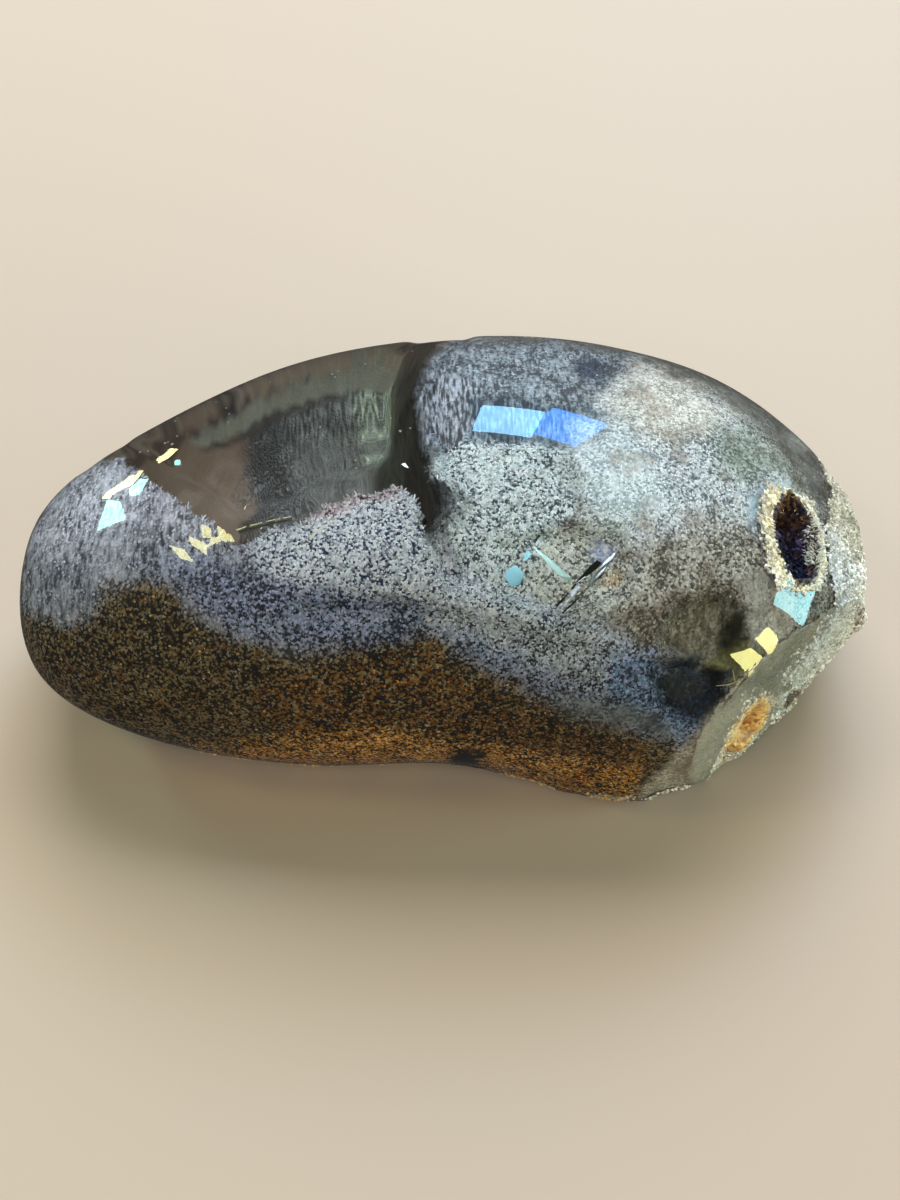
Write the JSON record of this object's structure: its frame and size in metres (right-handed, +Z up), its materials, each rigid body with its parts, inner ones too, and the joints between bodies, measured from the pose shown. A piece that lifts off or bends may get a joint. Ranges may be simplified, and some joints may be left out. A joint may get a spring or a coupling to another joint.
{
  "type": "phantom quartz freeform",
  "caption": "Palm-size polished freeform of clear quartz with mineral phantoms inside, lying on a flat foot, with a rough crusted end and a crystal-lined hollow.",
  "frame": {"origin": "centre of the stone's box in plan, on the surface it lies on", "axes": "+X along the stone towards its rough end, +Y away from the viewer, +Z up"},
  "size_m": [0.0778, 0.0438, 0.0291],
  "materials": {
    "quartz": "polished",
    "vug_crystal": "satin"
  },
  "bodies": {
    "root": {"quartz_stone": "quartz", "clear_overgrowth": "quartz", "vug_crystals": "vug_crystal"}
  },
  "joints": []
}
